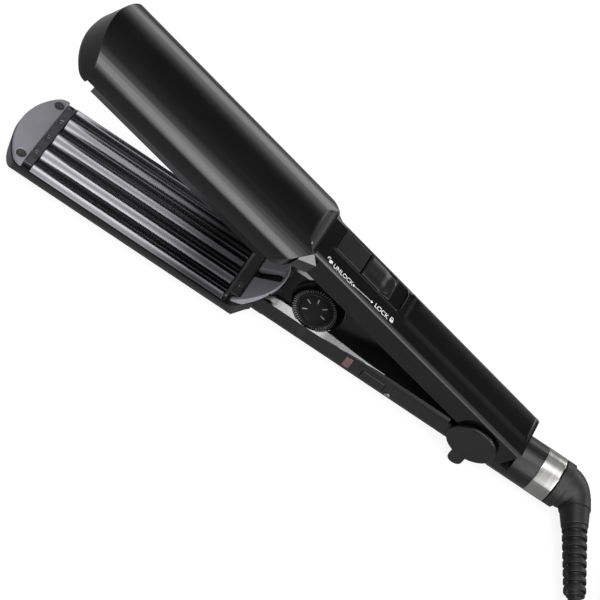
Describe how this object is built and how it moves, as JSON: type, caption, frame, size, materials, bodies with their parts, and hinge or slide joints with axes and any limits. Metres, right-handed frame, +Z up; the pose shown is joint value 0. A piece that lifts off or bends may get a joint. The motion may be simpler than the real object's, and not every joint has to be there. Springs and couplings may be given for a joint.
{
  "type": "hair crimper",
  "caption": "Hinged hair crimper with wavy heated plates, sliding latch, temperature dial, side button and a swivelling cord ending in a flat mains plug.",
  "frame": {"origin": "middle of the underside of the front foot, on the table", "axes": "+X along the lower arm from the tip towards the hinge and cord, +Y across to the far side, +Z up"},
  "size_m": [0.4788, 0.1335, 0.1264],
  "materials": {
    "gloss_black": "gloss",
    "satin_black": "satin",
    "soft_black": "matt",
    "cord_sheath": "satin",
    "grey_satin": "satin",
    "plate_coat": "dark coating, semi-gloss",
    "bare_metal": "satin",
    "ceramic": "matt",
    "mica": "matt",
    "steel": "satin",
    "chrome": "polished",
    "brass": "satin",
    "board": "satin",
    "red_lens": "clear"
  },
  "bodies": {
    "lower_arm": {"lower_shell": "gloss_black", "lower_cover": "gloss_black", "lower_tip_cap": "grey_satin", "lower_plate_frame": "bare_metal", "lower_plate": "plate_coat", "lower_heater": "ceramic", "lower_insulator": "mica", "lower_clamp": "satin_black", "latch_ramp": "grey_satin", "lower_screws": "steel", "control_board": "board", "dial_switch": "satin_black", "indicator_lens": "red_lens", "button_switch": "satin_black", "side_stud": "chrome", "front_foot": "soft_black", "rear_feet": "grey_satin", "hinge_caps": "gloss_black", "hinge_pin": "steel", "hinge_spring": "steel", "trim_ring": "chrome"},
    "upper_arm": {"upper_shell": "gloss_black", "upper_cover": "satin_black", "upper_tip_cap": "grey_satin", "upper_plate_frame": "bare_metal", "upper_plate": "plate_coat", "upper_heater": "ceramic", "upper_insulator": "mica", "upper_clamp": "satin_black", "upper_screws": "steel", "hinge_bushes": "brass", "lock_cover": "satin_black"},
    "lock_slider": {"lock_slider": "satin_black"},
    "temperature_dial": {"temperature_dial": "satin_black"},
    "power_button": {"power_button": "satin_black"},
    "cord_swivel": {"swivel_elbow": "satin_black", "swivel_clip": "steel", "strain_relief": "soft_black", "cord_run": "cord_sheath", "cord_coil": "cord_sheath", "cord_tie": "soft_black", "plug_body": "soft_black", "plug_pins": "brass"}
  },
  "joints": [
    {"name": "arm_hinge", "type": "hinge", "parent": "lower_arm", "child": "upper_arm", "pos_m": [0.127, 0, 0.0225], "axis": [0, -1, 0], "range_deg": [0, 18.3], "stiffness_Nm_per_rad": 1, "springref_deg": -34.38},
    {"name": "latch_slide", "type": "slide", "parent": "upper_arm", "child": "lock_slider", "axis": [0.9494, 0, -0.314], "range_m": [0, 0.006]},
    {"name": "dial_turn", "type": "hinge", "parent": "lower_arm", "child": "temperature_dial", "pos_m": [0.0254, 0, 0.018], "axis": [0, 0, 1], "range_deg": [-140, 140]},
    {"name": "button_press", "type": "slide", "parent": "lower_arm", "child": "power_button", "axis": [0, 1, 0], "range_m": [0, 0.0012], "stiffness_N_per_m": 500},
    {"name": "cord_turn", "type": "hinge", "parent": "lower_arm", "child": "cord_swivel", "pos_m": [0.17, 0, 0.0132], "axis": [1, 0, 0], "continuous": true}
  ]
}
